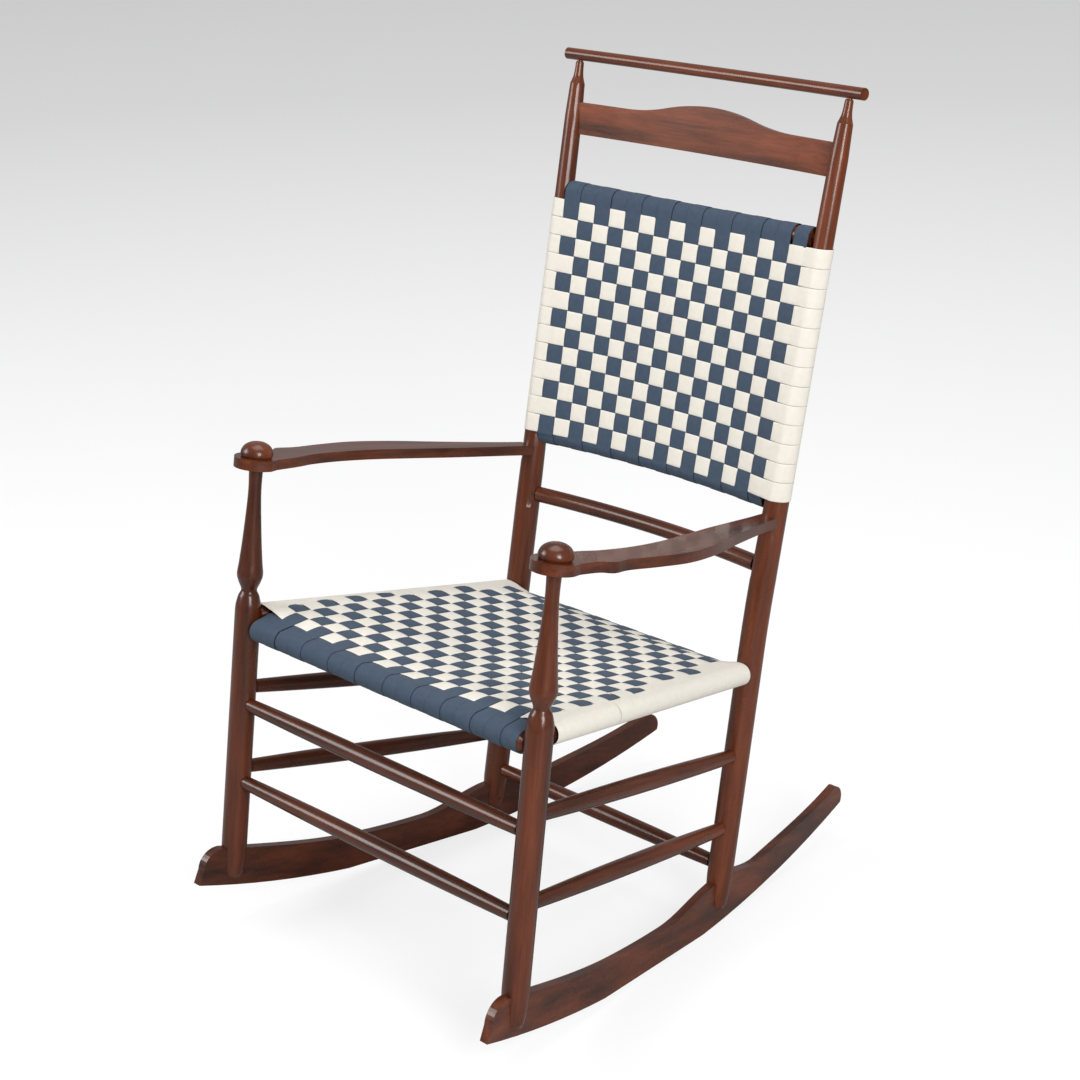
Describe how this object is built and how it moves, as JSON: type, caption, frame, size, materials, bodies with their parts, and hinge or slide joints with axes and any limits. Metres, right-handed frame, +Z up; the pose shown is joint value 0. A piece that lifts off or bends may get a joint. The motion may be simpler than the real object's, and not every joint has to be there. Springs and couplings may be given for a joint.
{
  "type": "rocking chair",
  "caption": "Shaker armed rocking chair with turned dark wood posts, mushroom arm caps, a shawl rail, a humped slat and a checkered tape seat and back in blue and cream.",
  "frame": {"origin": "on the floor, at the middle of the chair's box, with the chair leaning back as it stands at rest", "axes": "+Z up, the chair faces -Y, +X to the right seen from in front"},
  "size_m": [0.597, 0.7736, 1.0544],
  "materials": {
    "wood": "dark walnut brown varnish, semi-gloss",
    "pin_wood": "dark varnish, semi-gloss",
    "tack_brass": "plain",
    "stuffing": "cloth-covered stuffing",
    "tape_blue": "woven cotton tape, matte",
    "tape_cream": "woven cotton tape, matte"
  },
  "bodies": {
    "root": {"rocker_left": "wood", "rocker_right": "wood", "front_post_left": "wood", "front_post_right": "wood", "rear_post_left": "wood", "rear_post_right": "wood", "arm_left": "wood", "arm_right": "wood", "arm_cap_left": "wood", "arm_cap_right": "wood", "shawl_rail": "wood", "top_slat": "wood", "back_top_rung": "wood", "back_bottom_rung": "wood", "back_rung": "wood", "seat_front_rung": "wood", "seat_rear_rung": "wood", "seat_left_rung": "wood", "seat_right_rung": "wood", "front_rung_upper": "wood", "front_rung_lower": "wood", "left_rung_upper": "wood", "left_rung_lower": "wood", "right_rung_upper": "wood", "right_rung_lower": "wood", "rear_rung": "wood", "rocker_pins": "pin_wood", "slat_pins": "pin_wood", "tape_tacks": "tack_brass", "seat_pad": "stuffing", "back_pad": "stuffing", "seat_warp": "tape_blue", "seat_weft": "tape_cream", "back_warp": "tape_blue", "back_weft": "tape_cream"}
  },
  "joints": []
}
